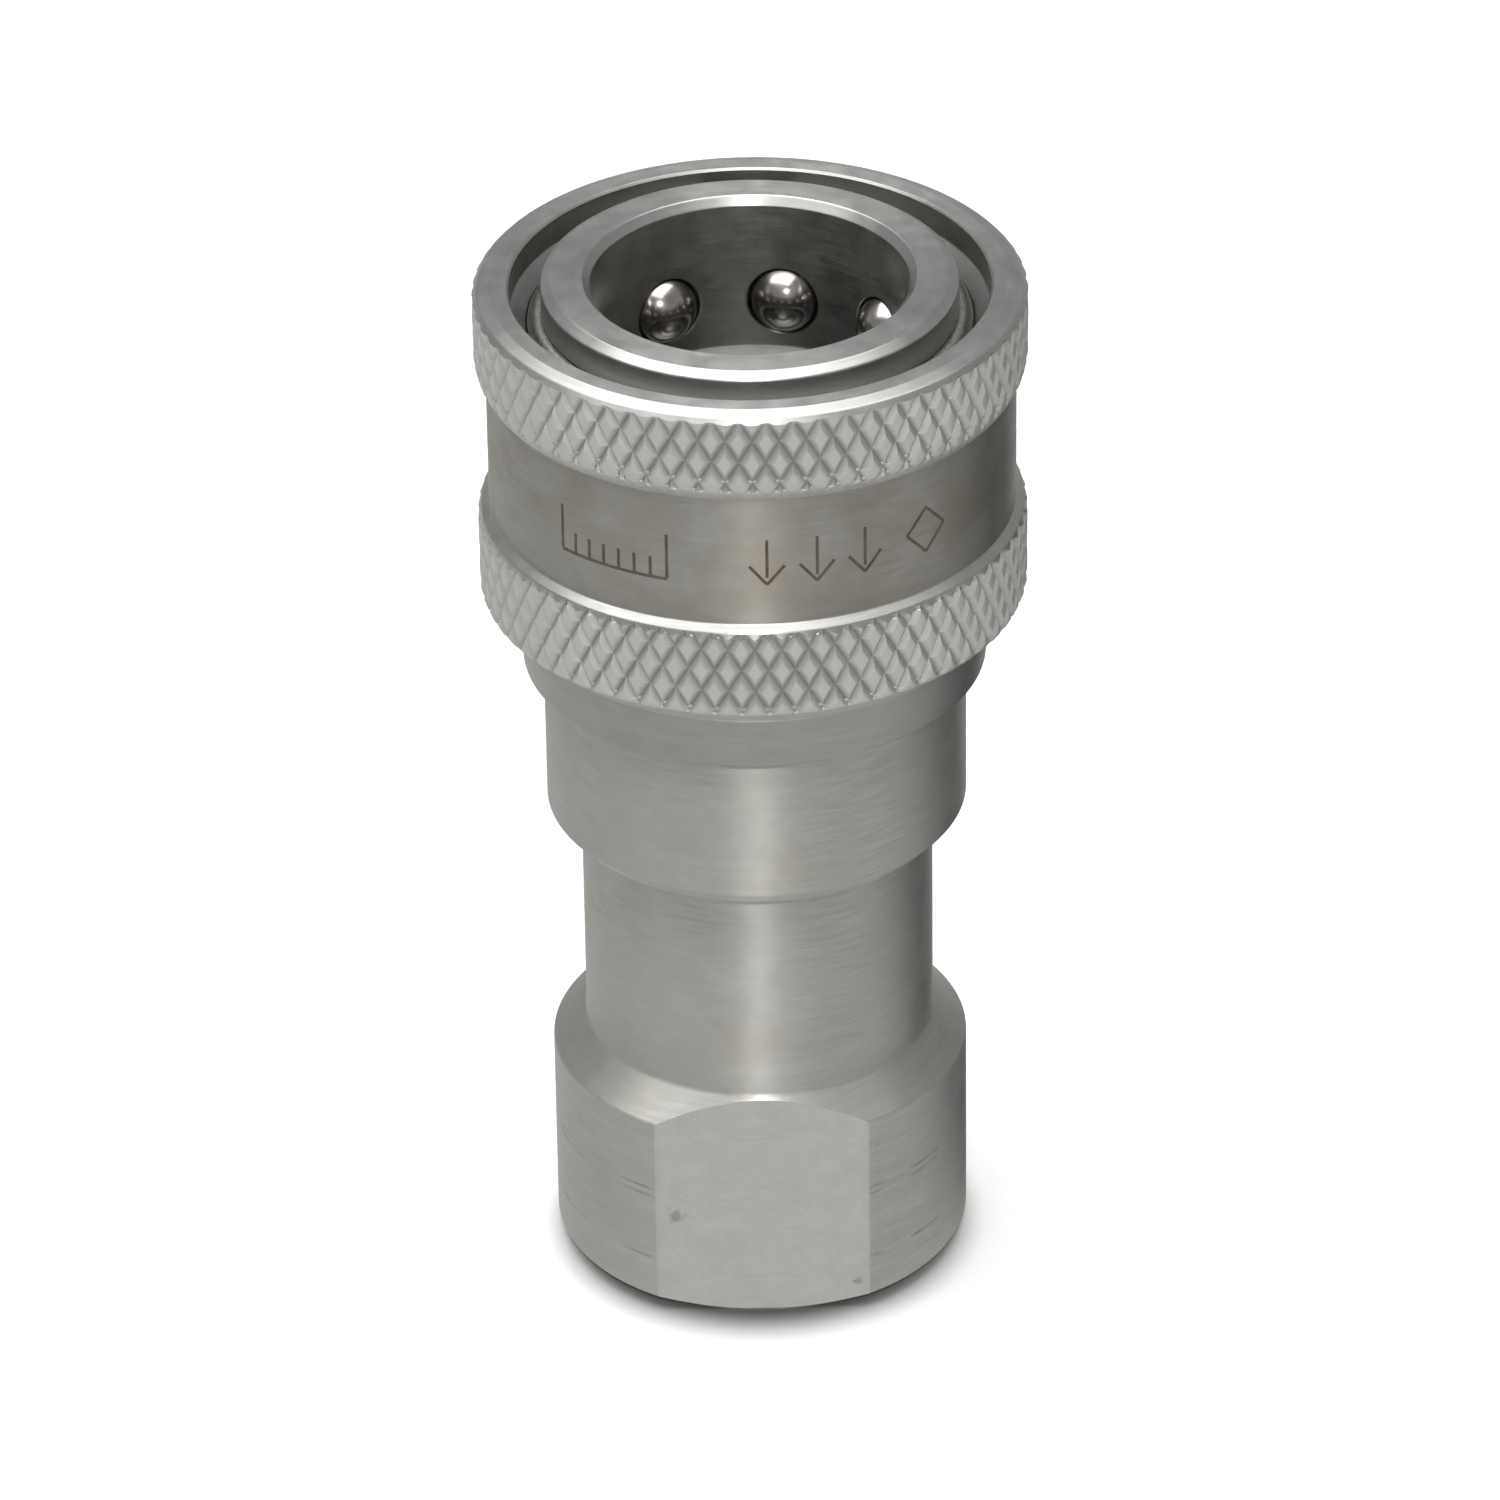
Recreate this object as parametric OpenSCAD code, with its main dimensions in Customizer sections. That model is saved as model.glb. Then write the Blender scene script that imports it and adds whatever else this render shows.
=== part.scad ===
// Quick disconnect coupler: a ball-lock socket with a pull-back sleeve and a poppet shut-off valve.
// Millimetres. The origin is the centre of the threaded end's face, and +Z runs along the bore
// towards the mouth that takes the probe. The two wrench flats face -Y and +Y.

/* [Bore and nose] */
// Diameter of the bore that takes the probe
bore_d = 14.3; // [13:0.1:17.2]
// Radius by which the mouth, above the balls, is wider than that bore
mouth_step = 0.18; // [0.16:0.01:0.3]
// Wall of the nose around that bore
nose_wall = 2.45; // [2.35:0.05:3]
// Length of the nose beyond the ball plane
nose_lead = 5.26; // [4.9:0.02:6.5]
// Slide clearance between the sleeve's land, the nose and the balls
slide_gap = 0.10; // [0.05:0.01:0.15]

/* [Locking balls] */
// Number of the turn between two balls, in degrees
ball_step = 45; // [45:1:90]
// Turn of the first ball from +X, in degrees
ball_turn = 32.5; // [0:0.5:44.5]
// Diameter of a locking ball
ball_d = 3.5; // [3.3:0.05:3.8]
// Radius by which the throat at the bore is smaller than the ball
throat_lip = 0.06; // [0.04:0.01:0.12]

/* [Locking sleeve] */
// Pull-back stroke of the sleeve
stroke = 5.0; // [4.2:0.1:6]
// Sleeve thickness from the release bore out to the knurl's crest
grip_wall = 1.69; // [1.5:0.01:2.4]
// Depth of the plain middle band below the knurl's crest
band_depth = 0.53; // [0.3:0.01:0.8]
// Length of the upper knurled band at its crest
upper_grip = 2.95; // [2.4:0.01:4.2]
// Length of the lower knurled band at its crest
lower_grip = 3.70; // [3:0.01:5]
// Length of the sleeve's inner land that holds the balls in
land_len = 3.48; // [2.9:0.02:4.6]
// Room between the collar and the land, where the sleeve's spring sits
spring_room = 10.5; // [9.5:0.1:13]

/* [Collar, neck and threaded end] */
// Length of the collar, from the joint between the two bodies to the spring's seat
collar_len = 9.0; // [7.4:0.1:11]
// Length of the threaded end, cone included
bar_len = 12.1; // [10:0.1:16]
// Length of the neck
neck_len = 11.4; // [9:0.1:14]
// Radius of the neck
neck_r = 8.3; // [8:0.05:9]
// Depth of each wrench flat below the round bar
flat_depth = 1.40; // [0.8:0.05:1.7]
// Wall radius of the threaded port, as a plain bore at the mean minor diameter
port_r = 5.7; // [5:0.05:6]

/* [Valve] */
// Opening travel of the poppet
poppet_travel = 3.0; // [2:0.1:3.2]
// Radial width of the flange that carries the valve seat
seat_flange = 1.85; // [1.6:0.05:2.2]
// Radius of the poppet's stem
stem_r = 2.0; // [1.7:0.05:2.2]
// Running clearance of the stem in its guide
stem_gap = 0.05; // [0.03:0.01:0.1]

/* [Springs and rings] */
// Wire diameter of the sleeve's spring
coil_wire = 0.9; // [0.7:0.05:1]
// Turns of the sleeve's spring
coil_turns = 4.5; // [3.5:0.5:5]
// Wire diameter of the poppet's spring
valve_wire = 0.6; // [0.5:0.05:0.65]
// Turns of the poppet's spring
valve_turns = 4.5; // [4:0.5:4.5]
// Wire diameter of the snap ring that stops the sleeve
snap_wire = 1.2; // [1:0.05:1.4]
// Opening of the snap ring, in degrees
snap_open = 18; // [10:1:40]

/* [Hidden] */
$fn = 128;

// Radii that follow from the bore and the nose.
eps = 0.01;
touch = 0.02;                       // gap left where one part rests on another
bore_r = bore_d / 2;
mouth_r = bore_r + mouth_step;
nose_r = bore_r + nose_wall;
body_step = 0.30;                   // the nose is one step over the relief and one under the collar
relief_r = nose_r - body_step;
collar_r = nose_r + body_step;
bar_r = collar_r;

// Heights, stacked from the threaded end.
z_neck = bar_len;
z_joint = z_neck + neck_len;
z_spring = z_joint + collar_len;
z_land = z_spring + spring_room;
z_ramp = z_land + land_len;
land_over = 0.10;                   // the land ends this far above the ball plane
z_ball = z_ramp - land_over;
z_face = z_ball + nose_lead;
z_rim = z_face - 0.40;
z_tail = z_spring - 0.70;
z_mouth = z_ball + 0.62 * ball_d;     // the step to the wider mouth, clear of the ball holes

// Balls: the land holds them in, and the ramp lets them out as the sleeve is pulled back.
ball_r = ball_d / 2;
land_r = nose_r + slide_gap;
ball_c = land_r - slide_gap - ball_r;
throat_r = ball_r - throat_lip;
throat_u = ball_c - sqrt(pow(ball_r + touch, 2) - pow(throat_r, 2));
hole_r = ball_r + 0.05;
ball_out = bore_r - (ball_c - ball_r) + 0.03;
slope = ball_out / stroke;

// Snap ring: it stops the sleeve's ramp from rising.
z_snap = z_face - 2.33;
snap_r = snap_wire / 2;
snap_c = land_r + slope * (z_snap - z_ramp) - (snap_r + 0.05) * sqrt(1 + slope * slope);

// Sleeve radii.
release_r = ball_c + ball_out + ball_r + 0.38;
z_cone = z_snap + 0.04;
cone_r = land_r + slope * (z_cone - z_ramp);
chamber_r = max(relief_r + coil_wire + 0.20, collar_r + 0.40);
flange_r = chamber_r - slide_gap;    // guides the sleeve's tail and seats its spring
tail_r = chamber_r + 0.42;
grip_r = max(release_r, chamber_r) + grip_wall;
band_r = grip_r - band_depth;

// Seal groove and valve seat inside the socket body.
groove_r = bore_r + 1.40;
z_groove0 = z_ball - 5.38;
z_groove1 = z_ball - 2.38;
z_flange1 = z_ball - 7.08;
z_flange0 = z_flange1 - 1.0;
seat_r = bore_r - seat_flange;
valve_r = bore_r - 0.15;            // valve chamber
z_seat = z_flange0 - (valve_r - seat_r);   // the seat is a 45 degree cone
z_stop = z_joint + 6.6;             // shoulder that holds the valve guide
thread_r = bore_r + 0.45;           // joint bore of the socket body
spigot_r = thread_r - 0.10;         // spigot of the rear body
cord_r = 0.89;                      // half the section of the probe seal
seal_c = groove_r - cord_r - eps;
z_seal = z_groove0 + cord_r + 0.04;

// Poppet, drawn from the seat downwards.
head_r = seat_r + 1.0;
cone_sum = seat_r + z_flange0 - 0.14;   // radius plus height along the head's cone
ring_r = 0.46;                          // half the section of the poppet's seal
ring_c = seat_r + 0.15;
z_ring = z_flange0 - 0.85;
boss_r = seat_r - 0.40;
z_boss = z_flange0 - 0.70;
z_bed = z_ring - ring_r - touch;
lip_r = head_r - 0.30;
pocket_r = stem_r + 1.70;
z_pocket = z_flange0 - 1.70;
z_back = z_flange0 - 3.10;
z_stem = z_joint + poppet_travel - 0.5;  // the stem's end stays in the joint bore when open
stud_r = 1.2;

// Valve guide.
z_guide0 = z_joint + 5.38;
z_guide1 = z_stop - touch;
hub_r = stem_r + 1.40;

// A round part from its outline, given as [radius, height] points.
module turned(outline) {
    rotate_extrude()
        polygon(outline);
}

// A round wire or cord bent into a full ring.
module ring(mean_r, z, section_r) {
    translate([0, 0, z])
        rotate_extrude()
            translate([mean_r, 0])
                circle(r = section_r, $fn = 48);
}

// Height of a coil's wire after u turns: one closed turn at each end, open turns between.
function coil_rise(u, turns, closed, active) =
    u < 1 ? closed * u
    : u < turns - 1 ? closed + active * (u - 1)
    : closed + active * (turns - 2) + closed * (u - turns + 1);

// A compression spring between two heights, as a round wire swept along its helix.
module coil_spring(mean_r, wire_d, z0, z1, turns, start) {
    sides = 8;
    per_turn = 20;
    count = round(turns * per_turn);
    w = wire_d / 2;
    closed = wire_d * 1.04;
    active = (z1 - z0 - wire_d - 2 * closed) / (turns - 2);
    points = [
        for (i = [0:count], j = [0:sides - 1])
            let (u = turns * i / count, a = start + 360 * u, b = 360 * (j + 0.5) / sides)
                [(mean_r + w * cos(b)) * cos(a),
                 (mean_r + w * cos(b)) * sin(a),
                 z0 + w + coil_rise(u, turns, closed, active) + w * sin(b)]
    ];
    lower = [
        for (i = [0:count - 1], j = [0:sides - 1])
            [i * sides + j, i * sides + (j + 1) % sides, (i + 1) * sides + (j + 1) % sides]
    ];
    upper = [
        for (i = [0:count - 1], j = [0:sides - 1])
            [i * sides + j, (i + 1) * sides + (j + 1) % sides, (i + 1) * sides + j]
    ];
    first = [[for (j = [0:sides - 1]) sides - 1 - j]];
    last = [[for (j = [0:sides - 1]) count * sides + j]];
    polyhedron(points = points, faces = concat(lower, upper, first, last));
}

// Threaded end, neck and spigot: one turned piece with a port, a flow passage and two flats.
module rear_body() {
    color("silver")
        difference() {
            turned([
                [port_r - 0.9, 0], [bar_r - 1.35, 0], [bar_r, 0.78], [bar_r, z_neck - 1.5],
                [neck_r, z_neck], [neck_r, z_joint], [spigot_r, z_joint],
                [spigot_r, z_joint + 2.8], [spigot_r - 1.1, z_joint + 2.8],
                [spigot_r - 1.1, z_joint + 4.4], [spigot_r, z_joint + 4.4],
                [spigot_r, z_joint + 5.05], [spigot_r - 0.3, z_joint + 5.35],
                [spigot_r - 2.1, z_joint + 5.35], [spigot_r - 2.1, z_joint + 1.0],
                [port_r - 0.9, z_joint + 1.0]
            ]);
            translate([0, 0, -eps])
                cylinder(r1 = port_r + 1.3 + eps, r2 = port_r, h = 1.3 + eps);
            translate([0, 0, -eps])
                cylinder(r = port_r, h = z_neck - 0.6 + eps);
            for (side = [-1, 1])
                translate([0, side * (bar_r - flat_depth + 5), z_neck / 2 - 1])
                    cube([3 * bar_r, 10, z_neck + 3], center = true);
        }
}

// Collar, guide flange, spring relief and nose: one turned piece with the seal groove, the valve
// seat and the ball holes.
module socket_body() {
    color("lightsteelblue")
        difference() {
            turned([
                [thread_r, z_joint], [collar_r - 0.64, z_joint], [collar_r, z_joint + 0.70],
                [collar_r, z_tail + 0.10], [flange_r, z_tail + 0.10],
                [flange_r, z_spring], [relief_r, z_spring],
                [relief_r, z_land], [nose_r, z_land + 0.30],
                [nose_r, z_snap - snap_r - touch], [snap_c - snap_r - touch, z_snap - snap_r - touch],
                [snap_c - snap_r - touch, z_snap + snap_r + touch], [nose_r, z_snap + snap_r + touch],
                [nose_r, z_face - 0.30], [nose_r - 0.45, z_face], [mouth_r + 0.35, z_face],
                [mouth_r, z_face - 0.40], [mouth_r, z_mouth + 0.20], [bore_r, z_mouth],
                [bore_r, z_groove1], [groove_r, z_groove1],
                [groove_r, z_groove0], [bore_r, z_groove0], [bore_r, z_flange1],
                [seat_r, z_flange1], [seat_r, z_flange0], [valve_r, z_seat],
                [valve_r, z_stop], [thread_r, z_stop]
            ]);
            for (i = [0:7])
                rotate([0, 0, ball_turn + ball_step * i])
                    translate([0, 0, z_ball])
                        rotate([0, 90, 0]) {
                            translate([0, 0, bore_r - 2])
                                cylinder(r = throat_r, h = throat_u - bore_r + 3);
                            translate([0, 0, throat_u])
                                cylinder(r = hole_r, h = nose_wall + 3);
                        }
        }
}

// Pull-back sleeve: two knurled bands drawn at their crests, a plain band, land, ramp and rim.
module locking_sleeve() {
    color("gainsboro")
        turned([
            [chamber_r, z_tail], [tail_r, z_tail], [tail_r + 0.28, z_tail + 2.70],
            [grip_r - 0.12, z_tail + 3.85], [grip_r, z_tail + 4.15],
            [grip_r, z_tail + 4.15 + lower_grip],
            [grip_r - 0.15, z_tail + 4.47 + lower_grip], [band_r, z_tail + 4.74 + lower_grip],
            [band_r, z_rim - 1.57 - upper_grip], [grip_r - 0.42, z_rim - 1.51 - upper_grip],
            [grip_r - 0.12, z_rim - 1.00 - upper_grip], [grip_r, z_rim - 0.43 - upper_grip],
            [grip_r, z_rim - 0.43],
            [grip_r - 0.24, z_rim - 0.16], [grip_r - 0.80, z_rim],
            [release_r + 0.10, z_rim], [release_r, z_rim - 0.10],
            [release_r, z_cone + 0.55], [cone_r, z_cone], [land_r, z_ramp],
            [land_r, z_land], [chamber_r, z_land]
        ]);
}

// Compression spring that pushes the sleeve up against its snap ring.
module sleeve_spring() {
    color("dimgray")
        coil_spring(relief_r + 0.10 + coil_wire / 2, coil_wire, z_spring + touch, z_land - touch,
                    coil_turns, 60);
}

// Open wire ring in the nose's groove.
module sleeve_snap_ring() {
    color("darkslategray")
        translate([0, 0, z_snap])
            rotate([0, 0, 90 + snap_open / 2])
                rotate_extrude(angle = 360 - snap_open)
                    translate([snap_c, 0])
                        circle(r = snap_r, $fn = 48);
}

// One locking ball, at its own hole in the nose.
module lock_ball(i) {
    color("white")
        rotate([0, 0, ball_turn + ball_step * (i - 1)])
            translate([ball_c, 0, z_ball])
                sphere(r = ball_r);
}

// Rubber ring that seals on the probe.
module probe_seal() {
    color("black")
        ring(seal_c, z_seal, cord_r);
}

// Flat plastic ring that backs the probe seal on the mouth's side.
module probe_backup_ring() {
    color("ivory")
        turned([
            [bore_r + 0.22, z_groove1 - 1.12], [groove_r - 0.05, z_groove1 - 1.12],
            [groove_r - 0.05, z_groove1 - touch], [bore_r + 0.22, z_groove1 - touch]
        ]);
}

// Rubber ring that seals the spigot in the socket body.
module body_seal() {
    color("black")
        ring(spigot_r - 0.5, z_joint + 3.6, 0.59);
}

// Perforated disc and hub that guide the poppet's stem.
module valve_guide() {
    color("goldenrod")
        difference() {
            turned([
                [stem_r + stem_gap, z_joint + 1.7], [hub_r - 0.4, z_joint + 1.7],
                [hub_r, z_joint + 2.1], [hub_r, z_guide0], [spigot_r, z_guide0],
                [spigot_r, z_guide1], [stem_r + stem_gap, z_guide1]
            ]);
            for (i = [0:2])
                rotate([0, 0, 120 * i])
                    translate([0, 0, z_guide0 - 1])
                        rotate_extrude(angle = 96)
                            translate([hub_r + 0.2, 0])
                                square([spigot_r - 2.2 - hub_r - 0.2, 4]);
        }
}

// Poppet: stem, spring pocket, head with a metal cone, bed for its seal, boss and stud.
module poppet() {
    color("khaki")
        turned([
            [0, z_stem], [stem_r - 0.3, z_stem], [stem_r, z_stem + 0.3],
            [stem_r, z_pocket], [pocket_r, z_pocket], [pocket_r, z_back],
            [head_r - 0.4, z_back], [head_r, z_back + 0.4], [head_r, cone_sum - head_r],
            [lip_r, cone_sum - lip_r], [lip_r, z_bed], [boss_r, z_bed], [boss_r, z_boss],
            [stud_r, z_boss], [stud_r, z_boss + 1.8], [0, z_boss + 1.8]
        ]);
}

// Rubber ring that closes the poppet on its seat.
module poppet_seal() {
    color("black")
        ring(ring_c, z_ring, ring_r);
}

// Cap on the poppet's stud: it holds the seal, and its nose meets the probe's own valve.
module poppet_cap() {
    color("khaki")
        turned([
            [stud_r + stem_gap, z_boss + touch], [seat_r - 0.32, z_boss + touch],
            [seat_r - 0.32, z_boss + 0.50], [seat_r - 0.60, z_boss + 0.80],
            [2.8, z_boss + 1.10], [2.6, z_boss + 1.50],
            [2.6, z_flange1 + 1.20], [2.2, z_flange1 + 1.60], [0, z_flange1 + 1.70],
            [0, z_boss + 1.9], [stud_r + stem_gap, z_boss + 1.9]
        ]);
}

// Compression spring that closes the poppet.
module poppet_spring() {
    color("dimgray")
        coil_spring(stem_r + 0.65 + valve_wire / 2, valve_wire, z_guide1 + touch, z_pocket - touch,
                    valve_turns, 200);
}

rear_body();
socket_body();
locking_sleeve();
sleeve_spring();
sleeve_snap_ring();
lock_ball(1);  // lock_ball_1
lock_ball(2);  // lock_ball_2
lock_ball(3);  // lock_ball_3
lock_ball(4);  // lock_ball_4
lock_ball(5);  // lock_ball_5
lock_ball(6);  // lock_ball_6
lock_ball(7);  // lock_ball_7
lock_ball(8);  // lock_ball_8
probe_seal();
probe_backup_ring();
body_seal();
valve_guide();
poppet();
poppet_seal();
poppet_cap();
poppet_spring();
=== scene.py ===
"""Looks of a quick disconnect coupler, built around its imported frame.

Lengths are written in millimetres and become metres as they enter a mesh. +Z is the bore axis.
"""

import math

import bmesh
import bpy
import numpy as np
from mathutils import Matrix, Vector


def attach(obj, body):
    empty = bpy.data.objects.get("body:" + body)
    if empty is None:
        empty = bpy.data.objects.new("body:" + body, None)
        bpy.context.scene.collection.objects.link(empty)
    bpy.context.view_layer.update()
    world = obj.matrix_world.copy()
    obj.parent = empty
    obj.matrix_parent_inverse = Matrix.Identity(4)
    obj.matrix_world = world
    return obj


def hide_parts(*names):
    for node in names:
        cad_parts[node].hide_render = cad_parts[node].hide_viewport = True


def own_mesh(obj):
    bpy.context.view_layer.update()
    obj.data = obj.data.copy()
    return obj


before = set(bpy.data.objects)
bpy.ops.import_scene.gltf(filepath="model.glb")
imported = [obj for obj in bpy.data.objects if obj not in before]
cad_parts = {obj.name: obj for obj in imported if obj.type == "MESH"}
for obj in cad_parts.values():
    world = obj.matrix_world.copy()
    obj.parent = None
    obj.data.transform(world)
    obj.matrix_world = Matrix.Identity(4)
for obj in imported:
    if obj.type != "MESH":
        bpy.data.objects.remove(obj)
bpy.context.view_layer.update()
MM = 0.001

# ---------------------------------------------------------------- sizes shared with the solids

# Radii of the socket body, of the sleeve, and of the threaded end with its spigot.
BORE_R, MOUTH_R, NOSE_R, RELIEF_R, COLLAR_R = 7.15, 7.33, 9.60, 9.30, 9.90
GROOVE_R, SEAT_R, VALVE_R, JOINT_R = 8.55, 5.30, 7.00, 7.60
LAND_R, CONE_R, RELEASE_R, CHAMBER_R, GRIP_R, BAND_R = 9.70, 10.32, 11.06, 10.40, 12.75, 12.22
FLAT_Y, NECK_R, PORT_R, FOOT_R = 8.50, 8.30, 5.70, 8.55
SPIGOT_R, SEAL_BED_R, PASSAGE_R, THROAT_PASSAGE_R = 7.50, 6.40, 5.40, 4.80

# Heights, from the threaded end upwards.
PORT_DEPTH, Z_NECK, Z_JOINT, Z_SPIGOT, Z_STOP = 11.5, 12.1, 23.5, 28.85, 30.1
Z_TAIL, Z_SPRING, Z_POCKET, Z_FLANGE0, Z_FLANGE1 = 31.8, 32.5, 36.6, 38.3, 39.3
Z_GROOVE0, Z_LAND, Z_GROOVE1, Z_BALL, Z_RAMP = 41.0, 43.0, 44.0, 46.38, 46.48
Z_MOUTH, Z_SNAP, Z_CONE, Z_RIM, Z_FACE = 48.55, 49.31, 49.35, 51.24, 51.64

# Balls and their tapered holes, the snap ring's wire, and the two travels.
BALLS, BALL_TURN, BALL_STEP = 8, 32.5, 45.0
BALL_R, BALL_C, HOLE_R, THROAT_R, THROAT_U = 1.75, 7.85, 1.80, 1.69, 7.324
SNAP_R, SNAP_C = 0.60, 9.646
SNAP_BED = SNAP_C - SNAP_R - 0.02


# ---------------------------------------------------------------- camera

def placed(name, data):
    """A new object with that data, at the origin of the scene."""
    made = bpy.data.objects.new(name, data)
    bpy.context.scene.collection.objects.link(made)
    return made


def aim_camera():
    """A long lens in front of the wrench flat, 31.4 degrees above the horizon."""
    data = bpy.data.cameras.new("camera")
    data.sensor_width = 36.0
    data.lens = 219.3048
    data.clip_start, data.clip_end = 0.01, 10.0
    camera = placed("camera", data)
    camera.location = (0.0, -0.36779, 0.25075)
    pitch, yaw, roll = 0.5483, -0.0008, -0.0143
    turn = (
        Matrix.Rotation(-yaw, 4, "Z")
        @ Matrix.Rotation(math.pi / 2 - pitch, 4, "X")
        @ Matrix.Rotation(roll, 4, "Z")
    )
    camera.rotation_mode = "QUATERNION"
    camera.rotation_quaternion = turn.to_quaternion()
    bpy.context.scene.camera = camera


aim_camera()


# ---------------------------------------------------------------- shapes as arrays

def around(count, start=0.0):
    """Angles of a full turn, evenly spaced from start, in radians."""
    return math.radians(start) + np.linspace(0.0, 2 * np.pi, count, endpoint=False)


def swept(radius, height, angle):
    """Points at radius x (cos angle, sin angle) and height, as a grid of rows by columns."""
    radius, height, angle = np.broadcast_arrays(radius, height, angle)
    return np.stack([radius * np.cos(angle), radius * np.sin(angle), height], -1)


def cells(rows, cols, wrap=True, first=0):
    """Four corners of each cell of a grid, row by row; wrap joins the last column to the first."""
    i, j = np.meshgrid(np.arange(rows - 1), np.arange(cols if wrap else cols - 1), indexing="ij")
    k = (j + 1) % cols
    corners = [i * cols + j, i * cols + k, (i + 1) * cols + k, (i + 1) * cols + j]
    return np.stack(corners, -1).reshape(-1, 4) + first


def outline(corners, hold=0.03):
    """A profile through (radius, height, fillet) corners.

    Each fillet is an arc tangent to both sides, drawn in four steps, with one point held just
    beyond each end, so that the straight parts stay straight when shaded.
    """
    pts = np.array([c[:2] for c in corners], float)
    made = [pts[0]]
    for k in range(1, len(corners) - 1):
        here, size = pts[k], corners[k][2] if len(corners[k]) > 2 else 0.0
        back, fore = pts[k - 1] - here, pts[k + 1] - here
        lb, lf = np.linalg.norm(back), np.linalg.norm(fore)
        back, fore = back / lb, fore / lf
        half = math.acos(float(np.clip(back @ fore, -1, 1))) / 2
        cut = min(size / math.tan(half), 0.45 * lb, 0.45 * lf) if size else 0.0
        if cut < 1e-4:
            made.append(here)
            continue
        radius = cut * math.tan(half)
        middle = here + (back + fore) / np.linalg.norm(back + fore) * radius / math.sin(half)
        start, end = here + back * cut, here + fore * cut
        a0 = math.atan2(*(start - middle)[::-1])
        a1 = math.atan2(*(end - middle)[::-1])
        a1 += 2 * math.pi * round((a0 - a1) / (2 * math.pi))
        turn = np.linspace(a0, a1, 5)
        arc = middle + radius * np.stack([np.cos(turn), np.sin(turn)], -1)
        room = min(hold, 0.04 * lb, 0.04 * lf)
        made += [start + back * room, *arc, end + fore * room]
    made.append(pts[-1])
    return np.array(made)


def lathe(corners, angle, closed=True):
    """Points and cells of a profile carried round the axis; a closed profile returns to its start."""
    line = outline([*corners, corners[0]]) if closed else outline(corners)
    grid = swept(line[:, :1], line[:, 1:], angle[None])
    return grid.reshape(-1, 3), cells(len(line), len(angle))


def joined(*parts):
    """Several (points, faces) pairs as one."""
    points, faces, count = [], [], 0
    for p, f in parts:
        points.append(p.reshape(-1, 3))
        faces.append(f + count)
        count += len(points[-1])
    return np.concatenate(points), faces


def tube(path, across, up, radius, sides):
    """A round wire: at each point of a path, a circle spanned by the two unit arrays across and up.

    Both ends are closed by shrinking the circle to its centre, with a small rounded rim.
    """
    turn = np.linspace(0, 2 * np.pi, sides, endpoint=False)
    along = np.gradient(path, axis=0)
    along /= np.linalg.norm(along, axis=1)[:, None]
    rim = radius * 0.25
    head = path[[0, 0, 0]] + along[[0, 0, 0]] * np.array([[0.0], [0.0], [rim]])
    tail = path[[-1, -1, -1]] - along[[-1, -1, -1]] * np.array([[rim], [0.0], [0.0]])
    centres = np.concatenate([head, path[2:-2], tail])
    middle = np.full(len(path) - 4, radius)
    size = np.concatenate([[0.0, radius - rim, radius], middle, [radius, radius - rim, 0.0]])
    pick = np.r_[0, 0, 1, 2 : len(path) - 2, len(path) - 2, len(path) - 1, len(path) - 1]
    ring = (
        across[pick][:, None] * np.cos(turn)[None, :, None]
        + up[pick][:, None] * np.sin(turn)[None, :, None]
    )
    grid = centres[:, None] + ring * size[:, None, None]
    return grid.reshape(-1, 3), cells(len(centres), sides)


# ---------------------------------------------------------------- finishes

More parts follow.
